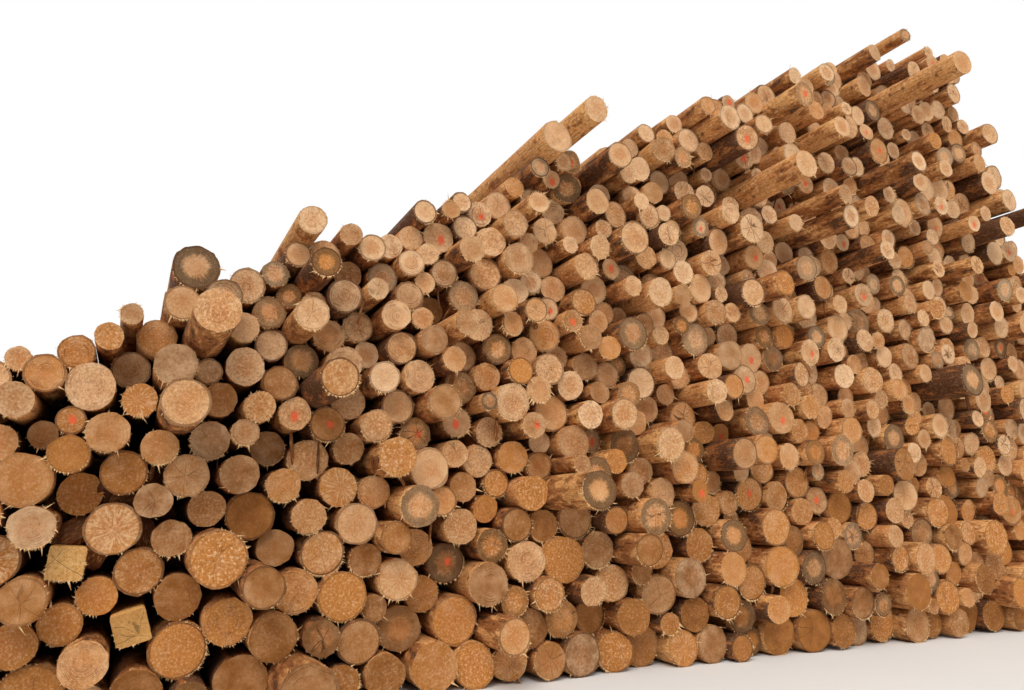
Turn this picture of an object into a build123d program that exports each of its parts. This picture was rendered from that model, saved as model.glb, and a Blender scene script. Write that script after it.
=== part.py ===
"""A loose stack of peeled softwood logs, all lying along Y with their sawn ends to the front (-Y).

The stack is built up the way it is piled: a first course lies side by side on the ground, and each
later log rolls into the lowest open valley between two that already lie there. It rests on both, so
every log in the stack is carried. Sizes are in millimetres. +Z is up, and the origin is on the
ground under the middle of the stack.
"""

import math
import os
import random

from build123d import *

# Logs, cut to length with a trimming allowance
log_length = 4100
length_play = 40
taper_per_metre = 9.0
upper_diameter = 206
ground_diameter = 300
graded_height = 3300
diameter_spread = 0.15
smallest_diameter = 150
largest_diameter = 345
rest_gap = 0.3

# How unevenly the ends line up at the front, near the ground and at the top, and the few logs that
# were left pushed out further
ground_end_play = 75
top_end_play = 170
pushed_share = 0.08
pushed_most = 520

# Outline of the front face, from the left foot to the right foot
toe_run = 1250
toe_height = 2150
ramp_run = 7630
ramp_rise = 3990
crown_run = 2200
crown_rise = 120
end_run = 2500

# Logs that stand well out of the face: place on the face, and how far each is pushed out
proud_logs = {
    "proud_log_on_lower_slope": (2420, 2300, 850),
    "proud_log_on_upper_slope": (6900, 4150, 800),
    "proud_log_under_crown": (7350, 5000, 500),
    "long_proud_log": (8890, 5450, 1000),
}
# Logs that ride on top of the slope: place along the stack, and how far each is pushed out
riding_logs = {
    "dark_ended_rider": (2250, 220),
    "lower_rider": (2900, 200),
    "left_rider_of_pair": (4920, 380),
    "right_rider_of_pair": (5180, 560),
}
# Squared timbers that lie among the logs: place on the face
squared_timbers = {
    "squared_timber": (1700, 840),
    "low_squared_timber": (2130, 620),
}
timber_side = 195
# A wanted piece takes the first valley it fits from this far under its place, and as near sideways
catch_distance = 150

# Section corners of a log, and how the logs are grouped
widest_arc = 105
bay_width = 1450
tier_height = 1600

# The stack is full when so many logs in a row find no open valley under the outline
misses_when_full = 10
stack_seed = 104


class Log:
    """One round, tapered log: its two end radii, its place along Y and the place of its axis."""

    def __init__(self, mid_diameter, butt_in_front, front, length, taper=taper_per_metre):
        half_taper = taper * length / 1000 / 4
        if butt_in_front:
            half_taper = -half_taper
        self.front = front
        self.length = length
        self.front_radius = mid_diameter / 2 - half_taper
        self.back_radius = mid_diameter / 2 + half_taper
        self.largest_radius = max(self.front_radius, self.back_radius)
        self.squared = False
        self.x = 0.0
        self.z = 0.0
        self.bears_at = []

    def radius_at(self, y):
        share = (y - self.front) / self.length
        return self.front_radius + (self.back_radius - self.front_radius) * share

    def bears_towards(self, x, z):
        self.bears_at.append(math.degrees(math.atan2(z - self.z, x - self.x)) % 360)


def reach(one, other):
    """Distance between two axes where the logs just bear on each other, over the length they share."""
    near = max(one.front, other.front)
    far = min(one.front + one.length, other.front + other.length)
    at_near = one.radius_at(near) + other.radius_at(near)
    at_far = one.radius_at(far) + other.radius_at(far)
    return max(at_near, at_far) + rest_gap


def ridge_height(x):
    """Height of the stack's outline at a place along the face."""
    corners = [(0, 0)]
    for run, rise in (
        (toe_run, toe_height),
        (ramp_run, ramp_rise),
        (crown_run, crown_rise),
        (end_run, -toe_height - ramp_rise - crown_rise),
    ):
        corners.append((corners[-1][0] + run, corners[-1][1] + rise))
    for (start, low), (end, high) in zip(corners, corners[1:]):
        if start <= x <= end:
            return low + (high - low) * (x - start) / (end - start)
    return 0


def valley(log, left, right):
    """Centre of a log that rests on two others, or None where it would roll off or fall between."""
    left_reach = reach(log, left)
    right_reach = reach(log, right)
    across = right.x - left.x
    up = right.z - left.z
    span = math.hypot(across, up)
    if span >= left_reach + right_reach:
        return None
    along = (span**2 + left_reach**2 - right_reach**2) / (2 * span)
    rise = math.sqrt(max(left_reach**2 - along**2, 0))
    x = left.x + (along * across - rise * up) / span
    z = left.z + (along * up + rise * across) / span
    return (x, z) if left.x < x < right.x else None


class Stack:
    """The logs laid so far, sorted into square cells so that neighbours are found quickly."""

    def __init__(self):
        self.logs = []
        self.cells = {}
        self.valleys = []

    def near(self, x, z, steps=1):
        """Every log within so many cells of a place, where a cell is as wide as the largest log."""
        column = int(x // largest_diameter)
        row = int(z // largest_diameter)
        for i in range(column - steps, column + steps + 1):
            for j in range(row - steps, row + steps + 1):
                yield from self.cells.get((i, j), ())

    def lay(self, log, x, z, carriers):
        """Puts a log in place and opens the valleys between it and its neighbours."""
        log.x = x
        log.z = z
        for other in self.near(x, z, steps=2):
            bridged = log.largest_radius + other.largest_radius + largest_diameter
            if math.hypot(other.x - x, other.z - z) < bridged:
                self.valleys.append((other, log) if other.x < x else (log, other))
        for other in carriers:
            log.bears_towards(other.x, other.z)
            other.bears_towards(log.x, log.z)
        self.logs.append(log)
        cell = (int(x // largest_diameter), int(z // largest_diameter))
        self.cells.setdefault(cell, []).append(log)

    def overlap(self, log, x, z, carriers):
        """How deep a log at this place would sink into any log that doesn't carry it."""
        deepest = 0
        for other in self.near(x, z):
            apart = math.hypot(other.x - x, other.z - z)
            if apart < log.largest_radius + other.largest_radius + rest_gap:
                if other not in carriers:
                    deepest = max(deepest, reach(log, other) - apart)
        return deepest

    def open_places(self, log):
        """Every valley that takes this log, as (height, x, left log, right log)."""
        shrink = 2 * log.largest_radius - smallest_diameter
        places = []
        kept = []
        for pair in self.valleys:
            place = valley(log, *pair)
            if place is None:
                kept.append(pair)
                continue
            sunk = self.overlap(log, *place, pair)
            if sunk <= shrink:
                kept.append(pair)
            if sunk == 0:
                places.append((place[1], place[0], *pair))
        self.valleys = kept
        return places


def pile_up():
    """Lays the whole stack and returns its logs and the named ones among them."""
    chance = random.Random(stack_seed)
    stack = Stack()
    named = {}

    def cut_log(height, push=None):
        low = max(1 - height / graded_height, 0)
        middle = upper_diameter + (ground_diameter - upper_diameter) * low**2
        diameter = chance.gauss(middle, middle * diameter_spread)
        diameter = min(max(diameter, smallest_diameter), largest_diameter)
        high = height / (toe_height + ramp_rise)
        play = ground_end_play + (top_end_play - ground_end_play) * high
        if push is None:
            pushed = chance.random() < pushed_share
            push = chance.uniform(2 * play, pushed_most) if pushed else 0
        front = max(min(chance.gauss(0, play), 2 * play), -2 * play) - push
        length = log_length + chance.uniform(-length_play, length_play)
        return Log(diameter, chance.random() < 0.5, front, length)

    def wanted_here(x, z, choices):
        """Name of a piece that belongs at this place on the face and isn't laid yet."""
        for name, (wanted_x, wanted_z, *rest) in choices.items():
            reached = z > wanted_z - catch_distance and abs(x - wanted_x) < catch_distance
            if reached and name not in named:
                return name
        return None

    ground_run = toe_run + ramp_run + crown_run + end_run
    log = cut_log(0)
    x = log.largest_radius
    while x + log.largest_radius < ground_run:
        stack.lay(log, x, log.largest_radius, stack.logs[-1:])
        log.bears_at.append(270)
        last = log
        log = cut_log(0)
        drop = log.largest_radius - last.largest_radius
        x = last.x + math.sqrt(reach(log, last) ** 2 - drop**2)

    height = 0
    misses = 0
    while misses < misses_when_full:
        log = cut_log(height)
        places = [
            place
            for place in stack.open_places(log)
            if place[0] + log.largest_radius < ridge_height(place[1])
        ]
        if not places:
            misses += 1
            continue
        misses = 0
        height, x, *carriers = min(places, key=lambda place: place[0])

        proud = wanted_here(x, height, proud_logs)
        timber = wanted_here(x, height, squared_timbers)
        if proud:
            special = Log(2 * log.largest_radius, False, -proud_logs[proud][2], log_length)
        elif timber:
            special = Log(timber_side * math.sqrt(2), False, 0, log_length, taper=0)
            special.squared = True
        if proud or timber:
            place = valley(special, *carriers)
            if place and stack.overlap(special, *place, carriers) == 0:
                log = special
                x, height = place
                named[proud or timber] = log
        stack.lay(log, x, height, carriers)

    for name, (rider_x, push) in riding_logs.items():
        log = cut_log(ridge_height(rider_x), push)
        places = stack.open_places(log)
        height, x, *carriers = min(places, key=lambda place: abs(place[1] - rider_x))
        stack.lay(log, x, height, carriers)
        named[name] = log
    return stack.logs, named


def section_corners(log, radius):
    """Corners of a log's section on its round rim: where it bears on others, and between these.

    A squared timber lies cornerwise: it is turned so that the bearing nearest to straight up, down or
    sideways is at one of its corners.
    """
    if log.squared:
        corner = min(log.bears_at, key=lambda angle: abs((angle + 45) % 90 - 45))
        angles = [corner + 90 * i for i in range(4)]
    else:
        bearings = sorted(log.bears_at)
        angles = []
        for start, end in zip(bearings, bearings[1:] + [bearings[0] + 360]):
            parts = math.ceil((end - start) / widest_arc)
            angles += [start + (end - start) * i / parts for i in range(parts)]
    corners = []
    for angle in angles:
        x = log.x + radius * math.cos(math.radians(angle))
        z = log.z + radius * math.sin(math.radians(angle))
        corners.append((x, z))
    return corners


def log_solid(log):
    """A log as a straight taper between its two sawn ends."""
    front_end = [(x, log.front, z) for x, z in section_corners(log, log.front_radius)]
    back = log.front + log.length
    back_end = [(x, back, z) for x, z in section_corners(log, log.back_radius)]
    with BuildPart() as piece:
        ConvexPolyhedron(front_end + back_end)
    return piece.part


logs, named_logs = pile_up()

groups = {name: [log] for name, log in named_logs.items()}
for log in logs:
    if log not in named_logs.values():
        bay = int(log.x // bay_width) + 1
        tier = int(log.z // tier_height) + 1
        groups.setdefault(f"bay_{bay:02d}_tier_{tier}", []).append(log)

rims = [corner for log in logs for corner in section_corners(log, log.largest_radius)]
middle_x = (min(x for x, z in rims) + max(x for x, z in rims)) / 2
front_y = min(log.front for log in logs)
back_y = max(log.front + log.length for log in logs)
for log in logs:
    log.x -= middle_x
    log.front -= (front_y + back_y) / 2

os.makedirs("parts", exist_ok=True)
for name, group in groups.items():
    pieces = [log_solid(log) for log in group]
    with BuildPart() as bundle:
        add(pieces)
    bundle.part.label = name
    export_step(bundle.part, f"parts/{name}.step")

print(len(logs), "logs in", len(groups), "nodes")
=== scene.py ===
# %% [markdown]
# # A stack of peeled logs
# This lesson dresses a large loose stack of peeled softwood logs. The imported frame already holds
# every log as a plain tapered solid with a few flat sides. Here each one becomes a round trunk with
# sawn ends, growth rings, bark remains and torn fibres. The frame stays as it is, and the new
# pieces stand for its nodes.

import math

import bpy
import numpy as np
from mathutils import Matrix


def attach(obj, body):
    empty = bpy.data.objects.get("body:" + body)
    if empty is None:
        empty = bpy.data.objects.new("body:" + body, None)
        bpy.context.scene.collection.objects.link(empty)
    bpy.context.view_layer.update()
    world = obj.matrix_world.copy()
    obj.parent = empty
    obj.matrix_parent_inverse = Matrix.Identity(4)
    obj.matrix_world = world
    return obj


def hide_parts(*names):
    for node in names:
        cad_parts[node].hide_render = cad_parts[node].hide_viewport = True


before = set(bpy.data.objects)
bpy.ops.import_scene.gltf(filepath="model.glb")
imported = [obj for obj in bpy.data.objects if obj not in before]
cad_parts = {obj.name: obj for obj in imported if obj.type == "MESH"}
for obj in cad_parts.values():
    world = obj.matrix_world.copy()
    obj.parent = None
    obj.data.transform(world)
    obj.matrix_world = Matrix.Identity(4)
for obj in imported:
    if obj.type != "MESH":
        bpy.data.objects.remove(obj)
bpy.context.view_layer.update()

# %% [markdown]
# ## Reading the logs from the frame
# A stack is only convincing if every trunk lies where it really rests, so nothing is placed by eye.
# Each solid of the frame is one log. Its corners lie on a circle at the front end and on another at
# the back end. A list of logs could be written by hand, but logs read from the frame stay true to
# it when its sizes change.

# %% Corners of a node, and which of them belong together
def joined_corners(node):
    """Corners of a node without doubles, and the triangles between them, as two arrays."""
    mesh = node.data
    places = np.empty(len(mesh.vertices) * 3, np.float32)
    mesh.vertices.foreach_get("co", places)
    used = np.empty(len(mesh.loops), np.int32)
    mesh.loops.foreach_get("vertex_index", used)
    corners, index = np.unique(places.reshape(-1, 3).round(6), axis=0, return_inverse=True)
    return corners.astype(float), index.ravel()[used].reshape(-1, 3)


def numbered_solids(corners, triangles):
    """A number for each corner, the same for all corners of one solid.

    Every corner starts with its own number and takes the lowest number among the corners that it
    shares a triangle with, until nothing changes.
    """
    number = np.arange(len(corners))
    while True:
        lowest = number.copy()
        shared = np.repeat(number[triangles].min(axis=1), 3)
        np.minimum.at(lowest, triangles.ravel(), shared)
        if (lowest == number).all():
            return number
        number = lowest


# %% The circle through a log's end
def fitted_circle(x, z):
    """Centre and radius of the circle through some corners.

    On a circle round (a, b), x² + z² = 2ax + 2bz + c, so least squares gives a, b and c, and the
    radius is the root of c + a² + b².
    """
    middle_x, middle_z = x.mean(), z.mean()
    x, z = x - middle_x, z - middle_z
    table = np.column_stack([2 * x, 2 * z, np.ones_like(x)])
    a, b, c = np.linalg.lstsq(table, x**2 + z**2, rcond=None)[0]
    return a + middle_x, b + middle_z, math.sqrt(c + a * a + b * b)


def logs_of(node):
    """One row for each log: x, z, front y, back y, front radius, back radius, angle of a corner."""
    corners, triangles = joined_corners(node)
    number = numbered_solids(corners, triangles)
    rows = []
    for solid in np.unique(number):
        x, y, z = corners[number == solid].T
        at_front = y < y.mean()
        a, b, front_radius = fitted_circle(x[at_front], z[at_front])
        back_radius = fitted_circle(x[~at_front], z[~at_front])[2]
        turn = math.atan2(z[at_front][0] - b, x[at_front][0] - a)
        rows.append((a, b, y.min(), y.max(), front_radius, back_radius, turn))
    return np.array(rows)


stack = {name: logs_of(node) for name, node in sorted(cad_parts.items())}
every_log = np.vstack(list(stack.values()))
face_y = float(np.median(every_log[:, 2]))
left_foot = float((every_log[:, 0] - every_log[:, 4]).min())
print(len(every_log), "logs, usual front diameter", round(2 * every_log[:, 4].mean(), 3), "m")

# %% [markdown]
# ## What each log looks like
# No two trunks in a yard match. Some ends are freshly sawn and pale, some are golden or brown, some
# have a dark stained ring round a clean middle, and a few carry a dot of marking paint. Low in the
# stack the ends are more golden and darker: partly the wood's own tone, partly painted shade. Each
# kind of log could have its own material. It is lighter to draw a few numbers for each log, with a
# fixed seed, and let one material read them from the mesh.

# %% Numbers drawn for each log
named_looks = {
    "dark_ended_rider": dict(stain=1.0, bark=0.75, dark=0.25),
    "proud_log_on_lower_slope": dict(bark=0.7, dark=0.05, stain=0.0, tone=0.5),
    "proud_log_on_upper_slope": dict(bark=0.3, dark=0.0, stain=0.0, tone=0.3),
    "proud_log_under_crown": dict(bark=0.5, paint=1.0, stain=0.5),
    "left_rider_of_pair": dict(bark=0.25, dark=0.0, stain=0.0, tone=0.2),
    "right_rider_of_pair": dict(bark=0.3, dark=0.0, stain=0.0, tone=0.25),
    "lower_rider": dict(bark=0.3, dark=0.0, stain=0.0, tone=0.2),
    "long_proud_log": dict(bark=0.35, dark=0.0, stain=0.0, tone=0.45),
    "squared_timber": dict(torn=1.0, paint=0.0, stain=0.0, dark=0.0, checks=1.0, tone=0.35),
    "low_squared_timber": dict(torn=0.3, paint=0.0, stain=0.0, dark=0.3, checks=0.6, tone=0.6),
}
looks_seed = 11
# Below this height the ends turn more golden and darker: partly the wood's own tone, partly painted
# shade.
golden_and_shaded_below = 3.4
painted_above = 1.2


def looks_of(name, logs, chance):
    """Arrays of each log's own numbers, such as tone, 0 for pale and 1 for golden ends.

    The share low falls from 1 on the ground to 0 at the height given above, and raises tone and
    dark.
    This golden, darker look low down is partly the wood's own tone and partly painted shade.
    """
    count = len(logs)
    height = logs[:, 1]
    low = np.clip(1 - height / golden_and_shaded_below, 0, 1)

    def some(share, least, most=1):
        """A number between least and most for this share of the logs, and 0 for the others."""
        return np.where(chance.random(count) < share, chance.uniform(least, most, count), 0)

    # Tone and the share of dark ends rise towards the ground: partly the wood's own colour, partly
    # painted shade.
    looks = {
        "tone": np.clip(0.24 + 0.66 * low + chance.normal(0, 0.24, count), 0, 1),
        "stain": some(0.12, 0.4),
        "dark": some(0.2 + 0.55 * low, 0.3),
        "bark": np.clip(chance.normal(0.54, 0.26, count), 0.05, 0.95),
        "side_tone": chance.random(count),
        "checks": some(0.14, 0.4),
        "lot": chance.random(count),
        "paint": 1.0 * (chance.random(count) < np.where(height > painted_above, 0.09, 0.03)),
        "torn": np.maximum(some(0.85, 0.2, 1.1) ** 2, 0.03),
    }
    # Dark ends get darker still towards the ground, which is partly painted shade.
    looks["dark"] = looks["dark"] * (0.65 + 0.35 * low)
    for key, value in named_looks.get(name, {}).items():
        looks[key] = np.full(count, value)
    return looks


chance = np.random.default_rng(looks_seed)
looks = {name: looks_of(name, logs, chance) for name, logs in stack.items()}
print("painted ends:", int(sum(look["paint"].sum() for look in looks.values())))

# %% [markdown]
# ## The surface of a log
# A log's side is a grid: one parameter runs round the trunk and the other along it. Its radius
# follows the taper between the two circles that were read above, with a slow wave that makes the
# section a little oval, and the axis bows slightly. The flat ends lean a little, because a saw
# never cuts quite square. Working on all logs of a node at once keeps this fast. Most logs show
# only their ends, so they get few rings along the trunk.

# %% Shape of the logs of one node
ragged_end = 0.12
ragged_share = 0.65
leaning_end = 0.3


def round_section(t, first=0, second=0, wave=0):
    """Share of the radius at angle t: 1 + wave times three slow cosines of 2t, 3t and 5t."""
    slow = np.cos(2 * t - first) + 0.5 * np.cos(3 * t - second) + 0.3 * np.cos(5 * t + first)
    return 1 + wave * slow


def log_points(logs, sides, shares, oval, bow, lean, chance, section=round_section):
    """Points of every log: the side grid, then the middle of each end.

    At share s of the length and angle t, the radius is the front radius plus s times the change to
    the back radius, times the section's own share at t. The axis moves sideways by bow sin(pi s).
    Near an end, the radius strays by a random share times exp(-(distance / ragged_end)²), and y
    grows by the end's lean times the offset from the axis.
    Returns the points and, for each, its place in the log: across, along and up.
    """
    count = len(logs)
    column = (slice(None), None, None)
    x, z, front, back, front_radius, back_radius, turn = (logs[:, i][column] for i in range(7))
    s = np.asarray(shares)[None, :, None]
    t = turn + (np.arange(sides) * 2 * math.pi / sides)[None, None, :]
    first, second, heading = (chance.uniform(0, 2 * math.pi, count)[column] for _ in range(3))
    wave = chance.uniform(0.2, 1, count)[column] * oval
    radius = front_radius + (back_radius - front_radius) * s
    radius = radius * section(t - turn, first, second, wave)
    along = (back - front) * s
    from_ends = (along, back - front - along)
    near = sum(np.exp(-((distance / ragged_end) ** 2)) for distance in from_ends)
    stray = ragged_share * oval * chance.normal(0, 1, (count, 1, sides))
    radius = radius * (1 + near * stray)
    across, up = radius * np.cos(t), radius * np.sin(t)
    bowed = chance.uniform(0.2, 1, count)[column] * bow * np.sin(math.pi * s)
    y = front + along
    for distance in from_ends:
        lean_across, lean_up = (chance.normal(0, lean, count)[column] for _ in range(2))
        fade = np.clip(1 - distance / leaning_end, 0, 1)
        y = y + fade * (lean_across * across + lean_up * up)
    offset = np.stack([across, along + 0 * t, up], axis=-1)
    axis_x, axis_z = x + bowed * np.cos(heading), z + bowed * np.sin(heading)
    points = np.stack([axis_x + across, y, axis_z + up], axis=-1)
    with_middles = []
    for grid in (points, offset):
        middles = grid[:, [0, -1]].mean(axis=2)
        with_middles.append(np.concatenate([grid.reshape(count, -1, 3), middles], axis=1))
    return with_middles


def log_faces(sides, rings):
    """Faces of one log, for the point order of log_points: side quads, then end triangles."""
    k = np.arange(sides)
    after = (k + 1) % sides
    rows = np.arange(rings - 1)[:, None] * sides
    side = np.stack([rows + k, rows + sides + k, rows + sides + after, rows + after], axis=-1)
    middle = np.full(sides, rings * sides)
    last = (rings - 1) * sides
    front_end = np.stack([middle, k, after], axis=-1)
    back_end = np.stack([last + after, last + k, middle + 1], axis=-1)
    return side.reshape(-1, 4), np.concatenate([front_end, back_end])


# %% [markdown]
# ## Torn fibres at the rims
# Where the saw leaves the trunk, the last fibres tear instead of being cut, so many ends have a
# fringe of pale splinters, thickest along the lower edge. Hair particles don't survive an export,
# so each splinter is a small spike. Thousands of them show at once, so it has only four points.

# %% Splinters of one node
splinters_on_torn_end = 150
share_at_back = 0.3
root_share, root_depth, flatness = 0.975, 0.002, 0.4
shortest, longest = 0.006, 0.024
thinnest, thickest = 0.003, 0.009
large_share, times_longer, times_wider = 0.06, 2.8, 1.8


def splinter_points(logs, torn, chance, section=round_section):
    """Four points for each splinter, and the number of the log that it grows on.

    A splinter starts on the rim at angle a, just inside the sawn end. It leaves in a direction
    mixed from outwards, away from the end and sideways. Three points round its root and one at its
    tip make a spike.
    """
    growing = np.repeat(np.arange(len(logs)), (torn * splinters_on_torn_end).astype(int))
    count = len(growing)
    at_back = chance.random(count) < share_at_back
    away = np.where(at_back, 1.0, -1.0)
    x, z, front, back, front_radius, back_radius, turn = (logs[growing, i] for i in range(7))
    leading = chance.normal(-math.pi / 2, 0.8, len(logs))[growing]
    a = leading + chance.normal(0, 0.95, count)
    outwards = np.stack([np.cos(a), 0 * a, np.sin(a)], axis=-1)
    sideways = np.stack([-np.sin(a), 0 * a, np.cos(a)], axis=-1)
    heading = outwards * chance.uniform(0.1, 0.9, count)[:, None]
    heading = heading + sideways * chance.normal(0, 0.4, count)[:, None]
    heading[:, 1] += away * chance.uniform(-0.2, 0.7, count)
    heading[:, 2] -= chance.uniform(0, 0.3, count)
    heading /= np.linalg.norm(heading, axis=1, keepdims=True)
    sideways = np.cross(heading, np.cross(sideways, heading))
    lift = np.cross(heading, sideways)
    large = chance.random(count) < large_share
    length = chance.uniform(shortest, longest, count) * np.where(large, times_longer, 1)
    width = chance.uniform(thinnest, thickest, count) * np.where(large, times_wider, 1)
    radius = np.where(at_back, back_radius, front_radius) * section(a - turn) * root_share
    end_y = np.where(at_back, back, front) - away * root_depth
    root = np.stack([x, end_y, z], axis=-1) + outwards * radius[:, None]
    wide, thick = sideways * (width / 2)[:, None], lift * (width * flatness)[:, None]
    points = [root - wide, root + wide, root + thick, root + heading * length[:, None]]
    return np.stack(points, axis=1), growing


splinter_triangles = np.array([[0, 2, 1], [0, 1, 3], [1, 2, 3], [2, 0, 3]])

# %% [markdown]
# ## A map for each piece
# A stack that is exported carries its colours in one picture for each piece. An automatic map gives
# every surface the same sharpness, so most of the picture goes to hidden trunks, and a sawn end
# gets a dozen dots across. Here the ends, which everyone looks at, get half of the picture, the
# trunks most of the rest, and the splinters a narrow band at the top.

# %% Places of the faces in the piece's picture
sides_band, ends_band, splinter_patches = 0.46, 0.5, 128
cell_margin, band_gap = 0.0015, 0.003
side_shape = 0.35


def log_layout(sides, shares):
    """Picture places of one log's faces, in the order of log_faces.

    The side lies in a unit square, with the share of the length to the right and the turn upwards.
    Each end lies in the circle that touches a unit square from inside.
    """
    k, s = np.arange(sides), np.asarray(shares)
    turn = np.stack([k, k, k + 1, k + 1], axis=-1) / sides
    step = np.stack([s[:-1], s[1:], s[1:], s[:-1]], axis=-1)
    side = np.stack(np.broadcast_arrays(step[:, None], turn[None]), axis=-1).reshape(-1, 4, 2)
    angle = 2 * math.pi * turn[:, :3] * np.array([0, 1, 1])
    spokes = np.stack([np.cos(angle), np.sin(angle)], axis=-1)
    fan = 0.5 + 0.5 * spokes * np.array([0, 1, 1])[:, None]
    return side, np.stack([fan, fan[:, ::-1]])


def cells(count, columns, rows, low, high):
    """Lower left corner and size of so many equal cells that fill a band, less a thin margin."""
    size = np.array([1 / columns, (high - low) / rows])
    index = np.arange(count)
    corner = np.stack([index % columns, index // columns], axis=-1) * size + [0, low]
    return (corner + cell_margin)[:, None, None], size - 2 * cell_margin


def piece_map(count, splinters, sides, shares):
    """Picture places of all face corners of a piece: sides, ends, splinters.

    The sides have about side_shape columns for each row, and the ends lie in the fewest square
    cells that hold them all. Splinters take turns in a fixed number of patches.
    """
    side, ends = log_layout(sides, shares)
    columns = max(1, round(math.sqrt(side_shape * count)))
    corner, size = cells(count, columns, math.ceil(count / columns), 0, sides_band)
    side = corner + side * size
    columns = 2
    while columns * int(columns * ends_band) < 2 * count:
        columns += 1
    top = sides_band + ends_band
    corner, size = cells(2 * count, columns, int(columns * ends_band), sides_band, top)
    ends = corner.reshape(count, 2, 1, 1, 2) + ends * size
    j = np.arange(3)
    right, up = np.stack([j, j + 1, j + 0.5], axis=-1) / 3, np.array([[0.2, 0.2, 1.0]] * 3)
    spike = np.concatenate([[[[0, 0], [0.5, 0.15], [1, 0]]], np.stack([right, up], axis=-1)])
    corner, size = cells(splinter_patches, splinter_patches // 2, 2, top + band_gap, 1)
    spikes = corner[np.arange(splinters) % splinter_patches] + spike * size
    return [places.reshape(-1, 2) for places in (side, ends, spikes)]


# %% [markdown]
# ## Putting arrays into a mesh
# The arrays go into the mesh in one move each. Every point also keeps four sets of three numbers:
# its place in its own log, and three rows of the log's looks. The materials read them, so rings run
# round each log's own middle and never slide.

# %% One mesh from points, faces and attributes
def piece_from(name, points, quads, triangles, slots, smooth, attributes, finishes, picture_places):
    """A piece of the stack: quads, then triangles, with a slot and a smooth flag for each."""
    mesh = bpy.data.meshes.new(name)
    mesh.vertices.add(len(points))
    mesh.vertices.foreach_set("co", points.ravel())
    used = np.concatenate([quads.ravel(), triangles.ravel()])
    sizes = np.repeat([4, 3], [len(quads), len(triangles)])
    mesh.loops.add(len(used))
    mesh.loops.foreach_set("vertex_index", used)
    mesh.polygons.add(len(sizes))
    mesh.polygons.foreach_set("loop_start", np.concatenate([[0], np.cumsum(sizes)[:-1]]))
    mesh.polygons.foreach_set("material_index", slots)
    mesh.polygons.foreach_set("use_smooth", smooth)
    for key, values in attributes.items():
        mesh.attributes.new(key, "FLOAT_VECTOR", "POINT").data.foreach_set("vector", values.ravel())
    if picture_places is not None:
        picture = picture_places.astype(np.float32).ravel()
        mesh.uv_layers.new(name="OFBake").data.foreach_set("uv", picture)
    for finish in finishes:
        mesh.materials.append(finish)
    mesh.update(calc_edges=True)
    mesh.validate()
    piece = bpy.data.objects.new(name, mesh)
    bpy.context.scene.collection.objects.link(piece)
    return piece


# %% [markdown]
# ## Shader arithmetic
# A finish is a formula over the surface. Wiring dozens of Math nodes by hand hides the formula, so
# a small class wraps a socket and lets Python's own operators add the nodes.

# %% A socket that can be calculated with
class Reading:
    """One socket of a finish. Arithmetic on it adds the Math nodes that work it out."""

    def __init__(self, finish, socket):
        self.finish, self.socket = finish, socket

    def also(self, output):
        """Another output of the same node."""
        return Reading(self.finish, self.socket.node.outputs[output])

    def math(self, operation, *values):
        return self.finish.node("ShaderNodeMath", {"operation": operation}, dict(enumerate(values)))

    def fraction(self):
        return self.math("FRACT", self)

    def sine(self):
        return self.math("SINE", self)

    def cosine(self):
        return self.math("COSINE", self)

    def __add__(self, other):
        return self.math("ADD", self, other)

    __radd__ = __add__

    def __mul__(self, other):
        return self.math("MULTIPLY", self, other)

    __rmul__ = __mul__

    def __sub__(self, other):
        return self.math("SUBTRACT", self, other)

    def __rsub__(self, other):
        return self.math("SUBTRACT", other, self)

    def __truediv__(self, other):
        return self.math("DIVIDE", self, other)

    def __rtruediv__(self, other):
        return self.math("DIVIDE", other, self)


# %% A finish under construction
dull_specular = 0.2


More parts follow.
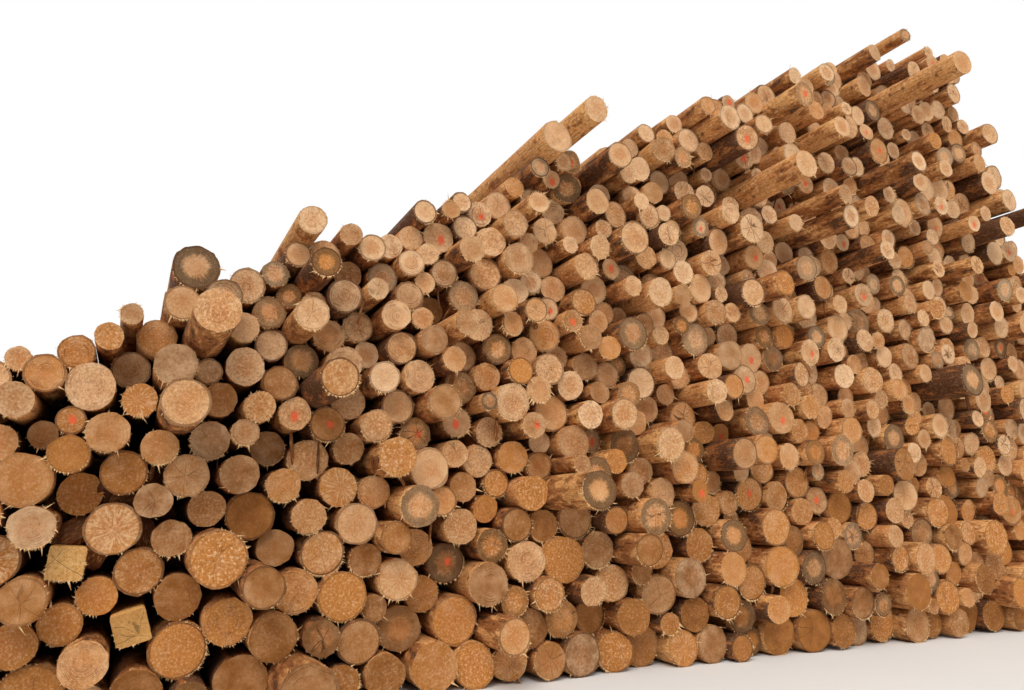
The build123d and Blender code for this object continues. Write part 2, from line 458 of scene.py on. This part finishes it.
class Finish:
    """A material, or the world, that is being put together from nodes."""

    def __init__(self, name, world=None):
        self.material = world or bpy.data.materials.new(name)
        self.material.use_nodes = True
        self.nodes = self.material.node_tree.nodes
        self.nodes.clear()

    def node(self, kind, settings=None, values=None, output=0):
        """Adds a node: its settings first, then the value or link of each of its sockets."""
        made = self.nodes.new(kind)
        for key, value in (settings or {}).items():
            setattr(made, key, value)
        for key, value in (values or {}).items():
            if isinstance(value, Reading):
                self.material.node_tree.links.new(value.socket, made.inputs[key])
            else:
                made.inputs[key].default_value = value
        return Reading(self, made.outputs[output] if made.outputs else None)

    def read(self, attribute):
        """The three numbers of a vector attribute, and the vector itself as the fourth."""
        vector = self.node("ShaderNodeAttribute", {"attribute_name": attribute}, output="Vector")
        parts = self.node("ShaderNodeSeparateXYZ", None, {0: vector})
        return parts, parts.also("Y"), parts.also("Z"), vector

    def vector(self, x, y, z):
        return self.node("ShaderNodeCombineXYZ", None, {0: x, 1: y, 2: z})

    def length(self, x, z):
        """Length of the flat vector (x, z), the root of x² + z²."""
        squares = x * x + z * z
        return squares.math("SQRT", squares)

    def noise(self, vector, scale, detail=2.0, roughness=0.5):
        """Soft random value near 0.5 that changes over about 1/scale metres."""
        values = {"Vector": vector, "Scale": scale, "Detail": detail, "Roughness": roughness}
        return self.node("ShaderNodeTexNoise", None, values)

    def bands(self, distance, scale, detail=1.0):
        """Soft random value that changes only with one distance."""
        values = {"W": distance, "Scale": scale, "Detail": detail}
        return self.node("ShaderNodeTexNoise", {"noise_dimensions": "1D"}, values)

    def rise(self, value, low, high):
        """0 below low, 1 above high, and a smooth step between them."""
        values = {"Value": value, "From Min": low, "From Max": high}
        return self.node("ShaderNodeMapRange", {"interpolation_type": "SMOOTHSTEP"}, values)

    def mix(self, share, one, other):
        """Colour between one and other."""
        settings = {"data_type": "RGBA", "clamp_factor": True}
        return self.node("ShaderNodeMix", settings, {0: share, 6: one, 7: other}, output=2)

    def shows_backdrop(self):
        """1 for rays straight from the camera, off metal or through glass, and 0 for all others."""
        light_path = self.node("ShaderNodeLightPath", output="Is Camera Ray")
        seen = light_path.math("MAXIMUM", light_path, light_path.also("Is Glossy Ray"))
        return seen.math("MAXIMUM", seen, light_path.also("Is Transmission Ray"))

    def finish(self, colour, roughness, height, depth):
        """Closes the material with a shader whose bump is a height times a depth in metres."""
        values = {"Height": height, "Distance": depth, "Strength": 1.0}
        normal = self.node("ShaderNodeBump", None, values)
        values = {"Base Color": colour, "Roughness": roughness, "Normal": normal}
        values["Specular IOR Level"] = dull_specular
        surface = self.node("ShaderNodeBsdfPrincipled", None, values)
        self.node("ShaderNodeOutputMaterial", None, {"Surface": surface})
        return self.material


def screen(red, green, blue):
    """The linear colour of a screen colour given in 0 to 255."""
    shares = np.array([red, green, blue]) / 255
    linear = np.where(shares > 0.04045, ((shares + 0.055) / 1.055) ** 2.4, shares / 12.92)
    return (*map(float, linear), 1.0)


# %% [markdown]
# ## The sawn ends
# A sawn end shows the tree's years as rings round the pith, which is seldom in the middle. The
# inner wood is a little redder than the sapwood. The saw leaves straight grooves, drying opens dark
# radial checks, and mould turns the sapwood of some logs grey-black in a ring. A few ends carry a
# blot of orange marking paint. All of this depends on the distance and direction from the pith, so
# the material reads the place in the log, not in the world.

# %% Finish of the sawn ends
pale_end = screen(238, 196, 152)
golden_end = screen(200, 130, 60)
red_heart = screen(200, 124, 64)
late_wood = screen(136, 78, 34)
bright_fibre = screen(248, 218, 176)
brown_end = screen(110, 64, 24)
stained_end = screen(78, 60, 40)
check_dark = screen(52, 32, 18)
bark_brown = screen(92, 56, 34)
marking_paint = screen(238, 98, 62)
end_roughness = 0.85


def sawn_end(name, pale_end, golden_end, red_heart, pith_share):
    """Rings round the pith, saw marks, stain, checks and paint, all from the place in the log.

    The distance from the pith is bent by a noise, so rings are never true circles. A year's ring
    darkens slowly and ends sharply. Stain starts at a ragged share of the radius. The log's lot
    times a number, without its whole part, gives more random numbers for the same log: how red its
    heart is, how clear its rings are, and whether bright rays run out from the pith.
    """
    end = Finish(name)
    across, _, up, _ = end.read("place_in_log")
    tone, stain, dark, _ = end.read("end_look")
    lot, paint, radius, _ = end.read("log_look")
    bark, _, checks, _ = end.read("side_look")
    turn = lot * 40
    from_pith_across = across - radius * pith_share * turn.cosine()
    from_pith_up = up - radius * pith_share * turn.sine()
    patch = end.noise(end.vector(across + lot * 31, lot * 7, up), 10, 3, 0.6)
    warp = end.noise(end.vector(across + lot * 17, lot * 5, up), 16, 2)
    distance = end.length(from_pith_across, from_pith_up) * (0.86 + 0.28 * warp)
    share = end.length(across, up) / radius
    heading_across = from_pith_across / (distance + 0.001)
    heading_up = from_pith_up / (distance + 0.001)

    raggedness = 0.2 + 0.9 * (lot * 31.1).fraction()
    heart_share = 0.08 + 0.55 * (lot * 57.7).fraction()
    clarity = end.rise((lot * 73.3).fraction(), 0.35, 0.95)
    ray_share = end.rise((lot * 119.9).fraction(), 0.82, 0.98) * (1 - dark)
    years = (distance / (0.0038 + 0.003 * lot)).fraction()
    late = end.rise(years, 0.4, 0.95) * (1 - end.rise(years, 0.95, 1.0))
    groups = end.bands(distance + lot * 9, 105, 2.0)
    clear = end.rise(end.noise(end.vector(across, lot * 19, up), 13, 2), 0.4, 0.62)
    saw_turn = turn * 1.7
    grooves_at = across * saw_turn.sine() + up * saw_turn.cosine()
    over = up * saw_turn.sine() - across * saw_turn.cosine()
    streaks = end.noise(end.vector(grooves_at * 9, over * 1.2, lot * 9), 26, 3, 0.7)
    fuzz = end.noise(end.vector(across, lot * 3, up), 190, 3, 0.7)
    tufts = end.noise(end.vector(across + lot * 3, lot * 13, up), 62, 3, 0.6)
    rays = end.noise(end.vector(heading_across * 5, heading_up * 5, share * 1.5 + lot * 13), 1.6, 2)

    fan = end.vector(heading_across * 0.8 + lot * 17, heading_up * 0.8, distance)
    values = {"Vector": fan, "Scale": 1.0}
    gaps = end.node("ShaderNodeTexVoronoi", {"feature": "DISTANCE_TO_EDGE"}, values)
    check_reach = end.noise(end.vector(heading_across * 2, heading_up * 2, lot * 11), 1.0, 0)
    check = (1 - end.rise(gaps * (distance + 0.012), 0.0003, 0.0018)) * checks
    check = check * end.rise(check_reach * 1.7 - share, 0.0, 0.25)

    colour = end.mix(tone * 1.1 + (patch - 0.5) * 1.2, pale_end, golden_end)
    heart = 1 - end.rise(share + (warp - 0.5) * 0.5 + (patch - 0.5) * 0.4, 0.35, 0.7)
    colour = end.mix(heart * heart_share, colour, red_heart)
    colour = end.mix(end.rise(groups, 0.46, 0.68) * clear * clarity * 0.75, colour, late_wood)
    colour = end.mix(late * (0.05 + 0.45 * clear * clarity), colour, late_wood)
    colour = end.mix(end.rise(streaks, 0.5, 0.7) * 0.32, colour, late_wood)
    colour = end.mix(end.rise(tufts, 0.5, 0.68) * raggedness * 0.45, colour, late_wood)
    colour = end.mix((1 - end.rise(tufts, 0.32, 0.48)) * raggedness * 0.5, colour, bright_fibre)
    colour = end.mix(end.rise(fuzz, 0.55, 0.72) * 0.4, colour, late_wood)
    colour = end.mix((1 - end.rise(fuzz, 0.3, 0.46)) * 0.45, colour, bright_fibre)
    colour = end.mix(end.rise(rays, 0.5, 0.62) * ray_share * 0.4, colour, bright_fibre)
    # Brown ends. There are more of them and they are darker low in the stack, which is partly
    # painted shade.
    colour = end.mix(dark * (0.45 + 1.1 * (patch - 0.3)), colour, brown_end)
    ring = end.rise(share + (rays - 0.5) * 0.5 + (patch - 0.5) * 0.4, 0.42, 0.72)
    colour = end.mix(ring * stain * (0.35 + 0.9 * fuzz), colour, stained_end)
    blot = end.length(from_pith_across * 1.1 - 0.01, from_pith_up * 0.85 + 0.008)
    blot = 1 - end.rise(blot + (patch - 0.5) * 0.07 + (fuzz - 0.5) * 0.05, 0.012, 0.034)
    colour = end.mix(blot * paint * 0.85, colour, marking_paint)
    rim = end.rise(share + (rays - 0.5) * 0.06, 0.95, 0.985)
    colour = end.mix(rim * bark * 0.85, colour, bark_brown)
    colour = end.mix(check * 0.85, colour, check_dark)
    height = late * 0.3 + streaks * 0.9 + fuzz * 0.8 + tufts * 1.4
    return end.finish(colour, end_roughness, height, 0.003)


sawn_end_finish = sawn_end("sawn_end", pale_end, golden_end, red_heart, 0.11)
timber_yellow = screen(232, 184, 112)
timber_gold = screen(210, 150, 78)
timber_end_finish = sawn_end("timber_end", timber_yellow, timber_gold, timber_yellow, 0.45)

# %% [markdown]
# ## The peeled sides
# Most of the bark was stripped off. What is left is smooth tan wood with long fibres, and ragged
# reddish brown patches of inner bark, with darker scales where the outer bark still holds. Branch
# stubs show as dark knots. A noise stretched along the trunk gives the fibres and the patches, and
# a threshold on it gives the ragged edge.

# %% Finish of the peeled sides
peeled_tan = screen(222, 166, 102)
peeled_pink = screen(196, 130, 76)
fibre_dark = screen(128, 76, 36)
inner_bark = screen(136, 78, 38)
outer_bark = screen(72, 44, 28)
bark_scale = screen(136, 108, 82)
knot_dark = screen(62, 36, 22)
side_roughness = 0.78


def peeled_side():
    """Fibres along the trunk, flecks of inner bark, scales of outer bark and branch stubs.

    Each layer is a noise over the place in the log, squeezed along the trunk. Where it passes a
    limit that falls with the log's share of bark, the layer is there.
    """
    side = Finish("peeled_side")
    across, along, up, _ = side.read("place_in_log")
    bark, side_tone, _, _ = side.read("side_look")
    lot, _, _, _ = side.read("log_look")
    _, _, dark, _ = side.read("end_look")
    shifted = side.vector(across + lot * 23, along * 0.08 + lot * 5, up)
    fibres = side.noise(shifted, 90, 3, 0.65)
    broad = side.noise(side.vector(across + lot * 13, along * 0.35, up + lot * 3), 6.0, 3)
    ragged = side.noise(side.vector(across - lot * 11, along * 0.3 + lot * 7, up), 15, 4, 0.65)
    flecks = side.noise(side.vector(across + lot * 7, along * 0.8, up), 42, 4, 0.7)
    flakes = side.noise(side.vector(across, along * 0.45 + lot * 9, up), 62, 3, 0.65)
    patch = ragged * 0.55 + broad * 0.33 + flecks * 0.12
    limit = 0.64 - bark * 0.26
    left_on = side.rise(patch - limit, 0.0, 0.025)
    scales = side.rise(patch - limit, 0.055, 0.09)
    torn_edge = side.rise(patch - limit, -0.035, 0.0) * (1 - left_on)
    values = {"Vector": side.vector(across, along * 0.9 + lot * 3, up), "Scale": 8.0}
    stub = side.node("ShaderNodeTexVoronoi", {"feature": "F1"}, values)
    knot = 1 - side.rise(stub + (flecks - 0.5) * 0.3, 0.05, 0.2)

    colour = side.mix(side_tone * 0.7 + (broad - 0.42) * 1.4, peeled_tan, peeled_pink)
    colour = side.mix(side.rise(fibres, 0.42, 0.7) * 0.6, colour, fibre_dark)
    colour = side.mix(side.rise(flecks, 0.5, 0.64) * 0.6, colour, inner_bark)
    colour = side.mix((1 - side.rise(flakes, 0.34, 0.46)) * 0.45, colour, bright_fibre)
    # Sides of dark-ended logs are darker too. Low in the stack this is partly painted shade.
    colour = side.mix(dark * 0.3, colour, fibre_dark)
    colour = side.mix(torn_edge * 0.6, colour, inner_bark)
    colour = side.mix(left_on * (0.5 + 0.6 * flakes), colour, inner_bark)
    colour = side.mix(scales * 0.85, colour, outer_bark)
    colour = side.mix(scales * side.rise(flakes, 0.5, 0.66) * 0.65, colour, bark_scale)
    colour = side.mix(knot * 0.75, colour, knot_dark)
    height = left_on * 0.6 + scales * (0.5 + 0.9 * flakes) + fibres * 0.35 + flecks * 0.4
    return side.finish(colour, side_roughness, height, 0.005)


peeled_side_finish = peeled_side()

# %% [markdown]
# ## The sawn faces of the squared timbers
# A sawn face shows the rings as long, nearly straight lines along the timber, crossed by the fine
# marks of the saw.

# %% Finish of the sawn faces
def timber_face():
    """Grain is a noise squeezed along the timber, and saw marks are bands across it."""
    face = Finish("timber_face")
    across, along, up, place = face.read("place_in_log")
    grain = face.noise(face.vector(across, along * 0.04, up), 130, 3, 0.6)
    marks = face.bands(along, 160, 2.0)
    blotch = face.noise(place, 3.0, 3)
    colour = face.mix(blotch, timber_yellow, timber_gold)
    colour = face.mix(face.rise(grain, 0.45, 0.75) * 0.55, colour, late_wood)
    colour = face.mix(face.rise(marks, 0.5, 0.75) * 0.2, colour, late_wood)
    return face.finish(colour, side_roughness, grain * 0.4 + marks * 0.5, 0.0016)


timber_face_finish = timber_face()

# %% [markdown]
# ## Torn fibres
# Splinters are fresh wood from inside the trunk, paler than anything round them. They vary a little
# from one to the next.

# %% Finish of the splinters
splinter_pale = screen(238, 208, 160)
splinter_gold = screen(204, 150, 92)


def torn_fibre():
    """A small noise over the place in the log picks a shade between pale and gold."""
    fibre = Finish("torn_fibre")
    _, _, _, place = fibre.read("place_in_log")
    grain = fibre.noise(place, 90, 2)
    colour = fibre.mix(fibre.rise(grain, 0.3, 0.7), splinter_pale, splinter_gold)
    return fibre.finish(colour, end_roughness, grain, 0.0008)


torn_fibre_finish = torn_fibre()

# %% [markdown]
# ## Loose bark
# Bark that came off in strips is reddish and fibrous inside and grey-brown outside. It is streaked
# along the strip, so the noise is squeezed along it.

# %% Finish of the loose bark
def loose_bark():
    """Streaks along the strip, turned paler by the strip's own lot, with grey scales over them."""
    bark = Finish("loose_bark")
    across, along, up, _ = bark.read("place_in_log")
    lot, _, _, _ = bark.read("log_look")
    streaks = bark.noise(bark.vector(across + lot * 9, along * 0.12, up), 130, 3, 0.6)
    scales = bark.noise(bark.vector(across, along * 0.6 + lot * 7, up), 45, 3, 0.6)
    colour = bark.mix(streaks + (lot - 0.5) * 0.6, outer_bark, inner_bark)
    colour = bark.mix(bark.rise(streaks, 0.52, 0.68) * lot * 0.9, colour, peeled_tan)
    colour = bark.mix(bark.rise(scales, 0.52, 0.68) * 0.5, colour, bark_scale)
    return bark.finish(colour, side_roughness, streaks * 0.5 + scales, 0.003)


loose_bark_finish = loose_bark()
print("finishes:", ", ".join(material.name for material in bpy.data.materials))

# %% [markdown]
# ## Dressing the round logs
# Every node becomes one joined mesh, because like logs that lie together are easiest to handle as
# one. The logs that stand out get finer grids.

# %% Build the round logs
usual_grid = dict(sides=24, shares=(0, 0.02, 0.35, 0.7, 0.98, 1), oval=0.03, bow=0.02, lean=0.06)
fine_grid = dict(sides=44, shares=tuple(np.linspace(0, 1, 26)), oval=0.022, bow=0.014, lean=0.07)


def dressed_logs(name, logs, look, chance, grid, finishes):
    """One piece for all logs of a node: their surfaces, then their splinters."""
    points, offset = log_points(logs, chance=chance, **grid)
    each = points.shape[1]
    side, ends = log_faces(grid["sides"], len(grid["shares"]))
    start = (np.arange(len(logs)) * each)[:, None, None]
    quads, ends = (start + side).reshape(-1, 4), (start + ends).reshape(-1, 3)
    section = grid.get("section", round_section)
    splinters, growing = splinter_points(logs, look["torn"], chance, section)
    first = len(logs) * each + (np.arange(len(growing)) * 4)[:, None, None]
    spikes = (first + splinter_triangles).reshape(-1, 3)
    foot = np.stack([logs[:, 0], logs[:, 2], logs[:, 1]], axis=-1)
    on_splinters = splinters - foot[growing][:, None]
    offset = np.concatenate([offset.reshape(-1, 3), on_splinters.reshape(-1, 3)])
    owner = np.concatenate([np.repeat(np.arange(len(logs)), each), np.repeat(growing, 4)])
    rows = {
        "end_look": (look["tone"], look["stain"], look["dark"]),
        "side_look": (look["bark"], look["side_tone"], look["checks"]),
        "log_look": (look["lot"], look["paint"], (logs[:, 4] + logs[:, 5]) / 2),
    }
    attributes = {key: np.stack(values, axis=-1)[owner] for key, values in rows.items()}
    attributes["place_in_log"] = offset
    triangles = np.concatenate([ends, spikes])
    slots = np.repeat([1, 0, 2], [len(faces) for faces in (quads, ends, spikes)])
    points = np.concatenate([points.reshape(-1, 3), splinters.reshape(-1, 3)])
    points[:, 2] = np.maximum(points[:, 2], 0)
    places = np.concatenate(piece_map(len(logs), len(growing), grid["sides"], grid["shares"]))
    faces = (quads, triangles, slots, slots == 1)
    return piece_from(f"dressed_{name}", points, *faces, attributes, finishes, places)


finishes = (sawn_end_finish, peeled_side_finish, torn_fibre_finish)
pieces = {}
for name, logs in stack.items():
    if "timber" in name:
        continue
    grid = usual_grid if len(logs) > 1 else fine_grid
    pieces[name] = dressed_logs(name, logs, looks[name], chance, grid, finishes)
    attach(pieces[name], "root")
    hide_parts(name)

# %% [markdown]
# ## The squared timbers
# Two pieces low in the face were sawn square. A box would be too perfect: the sharp edges of such a
# timber are worn, and towards one corner the round outside of the trunk is left, which sawyers call
# wane. So it is the grid of a round log, with a square section.

# %% Build the squared timbers
worn_corner = 0.955
wane_depth, wane_angle = 0.075, 0.3


def squared_section(t, first=0, second=0, wave=0):
    """Share of the half diagonal that a squared section reaches at angle t from a corner.

    A square reaches 1 / (|cos t| + |sin t|). The worn edges cap that at worn_corner, and wane takes
    off wane_depth times exp(-(angle from the wane / wane_angle)²) more near one corner.
    """
    from_wane = np.abs(np.angle(np.exp(1j * (t - math.pi / 2))))
    cap = worn_corner - wane_depth * np.exp(-((from_wane / wane_angle) ** 2))
    return np.minimum(1 / (np.abs(np.cos(t)) + np.abs(np.sin(t))), cap)


timber_grid = dict(sides=64, shares=(0, 0.01, 0.25, 0.5, 0.75, 0.99, 1), oval=0.0, bow=0.004)
timber_grid |= dict(lean=0.06, section=squared_section)
timber_finishes = (timber_end_finish, timber_face_finish, torn_fibre_finish)
for name, logs in stack.items():
    if "timber" in name:
        pieces[name] = dressed_logs(name, logs, looks[name], chance, timber_grid, timber_finishes)
        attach(pieces[name], "root")
        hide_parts(name)

# %% [markdown]
# ## Loose bark in the gaps
# While logs are piled, bark peels off and drops between them. Flakes wedge deep in the gaps, so no
# daylight shows through a real stack, and thin strips hang from the trunks near the face. Flakes
# strewn at random would have to be thousands. Instead, one is wedged wherever a straight line of
# sight passes between all logs.

# %% Where a line of sight passes through the stack
log_blocks, timber_blocks = 0.92, 0.68
cover_above = 0.15
smallest_flake, largest_flake, flake_over_room = 0.07, 0.12, 1.5
bundle_radius = 0.025
eye_from_foot, eye_from_face, eye_height = 2.01, 5.44, 1.25
eye = np.array([left_foot + eye_from_foot, face_y - eye_from_face, eye_height])
through = float(np.median(every_log[:, 3] - every_log[:, 2]))


def room_at(places):
    """How far each place (x, z) is from the nearest log's side."""
    apart = np.linalg.norm(places[..., None, :] - every_log[:, :2], axis=-1)
    return (apart - (every_log[:, 4] + every_log[:, 5]) / 2).min(axis=-1)


def within_the_stack(places):
    """True for each place (x, z) that has logs straight above it and straight to both sides."""
    across, up = (every_log[:, i] - places[:, None, i] for i in (0, 1))
    level = np.abs(up) < every_log[:, 4]
    above = (np.abs(across) < every_log[:, 4]) & (up > cover_above)
    left, right = level & (across < 0), level & (across > 0)
    return above.any(axis=1) & left.any(axis=1) & right.any(axis=1)


def open_sights(spacing, reach):
    """Places (x, z) on the face where a line from the eye passes between all logs, and its drift.

    Through the stack, the line from the eye through p moves on from p by (p - eye) through /
    distance. It is open where it stays further from each log's axis than most of the log's own
    radius. The dressed logs bow a little, and the squared timbers are narrower than their circles.
    """
    steps = np.arange(-reach, reach, spacing)
    places = np.stack(np.meshgrid(eye[0] + steps, eye[2] + steps), axis=-1).reshape(-1, 2)
    drift = (places - eye[[0, 2]]) * through / (face_y - eye[1])
    blocks = [timber_blocks if "timber" in name else log_blocks for name in stack]
    blocks = np.repeat(blocks, [len(logs) for logs in stack.values()])
    for x, z, radius in zip(*every_log[:, :2].T, blocks * every_log[:, 4:6].mean(axis=1)):
        apart = np.array([x, z]) - places
        share = np.clip((apart * drift).sum(axis=1) / (drift**2).sum(axis=1).clip(1e-9), 0, 1)
        gap = np.linalg.norm(apart - drift * share[:, None], axis=1)
        kept = gap > radius
        places, drift = places[kept], drift[kept]
    return places, drift


def wedged_flakes(places, drift, shares, widest):
    """Middle (x, y, z) and half width of flakes, one where each bundle of open lines has most room.

    A flake can only hang within the stack, where there is less room than in the widest gap.
    """
    flakes = []
    left = np.ones(len(places), bool)
    while left.any():
        i = int(np.argmax(left))
        along = places[i] + drift[i] * shares[:, None]
        room = room_at(along)
        inside = (room < widest) & within_the_stack(along)
        if inside.any():
            best = int(np.argmax(np.where(inside, room, -1)))
            half = float(np.clip(flake_over_room * room[best], smallest_flake, largest_flake))
            flakes.append((along[best, 0], face_y + through * shares[best], along[best, 1], half))
        left &= np.linalg.norm(places - places[i], axis=1) > bundle_radius
    return np.array(flakes).reshape(-1, 4)


places, drift = open_sights(spacing=0.01, reach=1.6)
flakes = wedged_flakes(places, drift, np.linspace(0.05, 0.95, 19), widest=0.16)
print(len(places), "open lines,", len(flakes), "flakes")

# %% Strips of bark
hanging_strips = 110
strip_thickness = 0.004
rows, columns = 7, 3
grid_size = rows * columns


def strip_points(middle, along, across, length, width, curl, droop, chance):
    """Points of closed strips: a grid of rows by columns and the same a thickness behind it.

    At u from -1/2 to 1/2 along the strip and v from -1 to 1 across it, a point lies at
    middle + u length along + v width/2 (1 - |1.7u|³) across + (curl v² + droop u²) facing.
    Ragged edges come from a random share taken off the width at each point.
    """
    facing = np.cross(along, across)
    u = np.linspace(-0.5, 0.5, rows)[None, :, None, None]
    v = np.linspace(-1, 1, columns)[None, None, :, None]
    numbers, vectors = (length, width, curl, droop), (middle, along, across, facing)
    length, width, curl, droop = (each[:, None, None, None] for each in numbers)
    middle, along, across, facing = (each[:, None, None] for each in vectors)
    ragged = chance.uniform(0.65, 1, (len(middle), rows, columns, 1))
    wide = v * width / 2 * (1 - np.abs(1.7 * u) ** 3) * ragged
    grid = middle + u * length * along + wide * across + (curl * v**2 + droop * u**2) * facing
    points = np.concatenate([grid, grid - strip_thickness * facing], axis=1)
    flat = np.concatenate([wide, u * length + 0 * wide, 0 * wide], axis=-1)
    flat = np.concatenate([flat, flat], axis=1)
    return points.reshape(-1, 2 * grid_size, 3), flat.reshape(-1, 3)


def strip_faces():
    """Quads of one strip: the front, the back and a rim that follows the outline of the grid."""
    index = np.arange(grid_size).reshape(rows, columns)
    around = [index[:-1, :-1], index[:-1, 1:], index[1:, 1:], index[1:, :-1]]
    cell = np.stack(around, axis=-1).reshape(-1, 4)
    outline = np.concatenate([index[0, :-1], index[:-1, -1], index[-1, :0:-1], index[:0:-1, 0]])
    after = np.roll(outline, -1)
    rim = np.stack([outline, outline + grid_size, after + grid_size, after], axis=-1)
    return np.concatenate([cell[:, ::-1], cell + grid_size, rim[:, ::-1]])


# %% Where the strips lie
count = len(flakes)
half = flakes[:, 3]
slant = chance.uniform(0, math.pi, count)
along = np.stack([np.cos(slant), chance.normal(0, 0.3, count), np.sin(slant)], axis=-1)
across = np.stack([-np.sin(slant), chance.normal(0, 0.3, count), np.cos(slant)], axis=-1)
wedged = (3.4 * half, 2.4 * half, chance.normal(0, 0.015, count), chance.normal(0, 0.05, count))

count = hanging_strips
hosts = every_log[chance.choice(len(every_log), count, replace=False)]
angle = chance.normal(-math.pi / 2, 0.7, count)
down = [chance.normal(0, 0.25, count), chance.normal(0, 0.2, count), -np.ones(count)]
down = np.stack(down, axis=-1)
level = np.stack([np.ones(count), chance.normal(0, 0.8, count), down[:, 0]], axis=-1)
length = chance.uniform(0.06, 0.24, count)
top = np.stack([np.cos(angle), 0 * angle, np.sin(angle)], axis=-1) * hosts[:, 4, None]
top_y = hosts[:, 2] + chance.uniform(0.01, 0.16, count)
top += np.stack([hosts[:, 0], top_y, hosts[:, 1]], axis=-1)
width, curl = chance.uniform(0.012, 0.045, count), chance.normal(0, 0.006, count)
hanging = (length, width, curl, chance.normal(0, 0.12, count) * length)

# %% Build the loose bark
middles = np.concatenate([flakes[:, :3], top + down * length[:, None] * 0.45])
along, across = np.concatenate([along, down]), np.concatenate([across, level])
along /= np.linalg.norm(along, axis=1, keepdims=True)
across -= along * (along * across).sum(axis=1, keepdims=True)
across /= np.linalg.norm(across, axis=1, keepdims=True)
measures = [np.concatenate(pair) for pair in zip(wedged, hanging)]
points, offset = strip_points(middles, along, across, *measures, chance)
points[..., 2] = np.maximum(points[..., 2], 0.002)
first = (np.arange(len(points)) * 2 * grid_size)[:, None, None]
quads = (first + strip_faces()).reshape(-1, 4)
lots = np.repeat(chance.random(len(points)), 2 * grid_size)
strip_looks = {"place_in_log": offset, "log_look": np.stack([lots, lots, lots], axis=-1)}
slots = np.zeros(len(quads), int)
faces = (quads, np.zeros((0, 3), int), slots, slots == 0)
bark_finishes = [loose_bark_finish]
bark = piece_from("loose_bark", points.reshape(-1, 3), *faces, strip_looks, bark_finishes, None)
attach(bark, "root")
pieces["loose_bark"] = bark
polygons = [face for piece in pieces.values() for face in piece.data.polygons]
print(len(pieces), "pieces,", sum(len(face.vertices) - 2 for face in polygons), "triangles")

# %% [markdown]
# ## The floor, the light and the camera
# A plain pale floor takes the stack's shadow. Far away it turns white, so that it meets the white
# background without a line. The light is soft and plain: a pale surround, brighter from above, and
# one wide lamp from the front. The camera stands low before the left part and looks up along it.

# %% Floor
floor_reach = 90.0
white_from, all_white = 14.0, 34.0
floor_mesh = bpy.data.meshes.new("floor")
corners = [(x * floor_reach, y * floor_reach, 0) for x, y in ((-1, -1), (1, -1), (1, 1), (-1, 1))]
floor_mesh.from_pydata(corners, [], [(0, 1, 2, 3)])
floor = bpy.data.objects.new("floor", floor_mesh)
bpy.context.scene.collection.objects.link(floor)
paving = Finish("pale_floor")
ground = paving.node("ShaderNodeTexCoord", output="Object")
parts = paving.node("ShaderNodeSeparateXYZ", None, {0: ground})
far = paving.rise(paving.length(parts, parts.also("Y")), white_from, all_white)
mottle = paving.noise(ground, 0.7, 3)
pale = paving.mix(mottle, (0.78, 0.78, 0.77, 1), (0.82, 0.82, 0.81, 1))
matt = paving.node("ShaderNodeBsdfPrincipled", None, {"Base Color": pale, "Roughness": 0.9})
white = paving.node("ShaderNodeEmission", None, {"Color": (1, 1, 1, 1), "Strength": 1.0})
share = far * paving.shows_backdrop()
blend = paving.node("ShaderNodeMixShader", None, {0: share, 1: matt, 2: white})
paving.node("ShaderNodeOutputMaterial", None, {"Surface": blend})
floor_mesh.materials.append(paving.material)

# %% Light
world = bpy.data.worlds.new("pale_surround")
bpy.context.scene.world = world
surround = Finish("pale_surround", world)
towards = surround.node("ShaderNodeTexCoord", output="Generated")
upwards = surround.node("ShaderNodeSeparateXYZ", None, {0: towards}, output="Z")
values = {"Value": upwards, "From Min": 0.0, "From Max": 0.9, "To Min": 0.3, "To Max": 0.85}
strength = surround.node("ShaderNodeMapRange", None, values)
values = {"Color": (1.0, 0.98, 0.94, 1), "Strength": strength}
soft = surround.node("ShaderNodeBackground", None, values)
backdrop = surround.node("ShaderNodeBackground", None, {"Color": (1, 1, 1, 1), "Strength": 1.0})
values = {0: surround.shows_backdrop(), 1: soft, 2: backdrop}
either = surround.node("ShaderNodeMixShader", None, values)
surround.node("ShaderNodeOutputWorld", None, {"Surface": either})

lamp_data = bpy.data.lights.new("wide_lamp", "SUN")
lamp_data.energy = 2.1
lamp_data.angle = math.radians(40)
lamp_data.color = (1.0, 0.97, 0.93)
lamp = bpy.data.objects.new("wide_lamp", lamp_data)
lamp.rotation_euler = (math.radians(44), 0, math.radians(-30))
bpy.context.scene.collection.objects.link(lamp)

# %% Camera
camera_data = bpy.data.cameras.new("yard_view")
camera_data.lens = 28.125
camera_data.sensor_width = 36
camera_data.clip_end = 400
camera = bpy.data.objects.new("yard_view", camera_data)
camera.location = eye
camera.rotation_euler = (math.radians(90 + 11.31), 0, math.radians(-25.38))
bpy.context.scene.collection.objects.link(camera)
bpy.context.scene.camera = camera
bpy.context.scene.view_settings.view_transform = "Standard"
print("eye at", [round(float(c), 2) for c in eye])
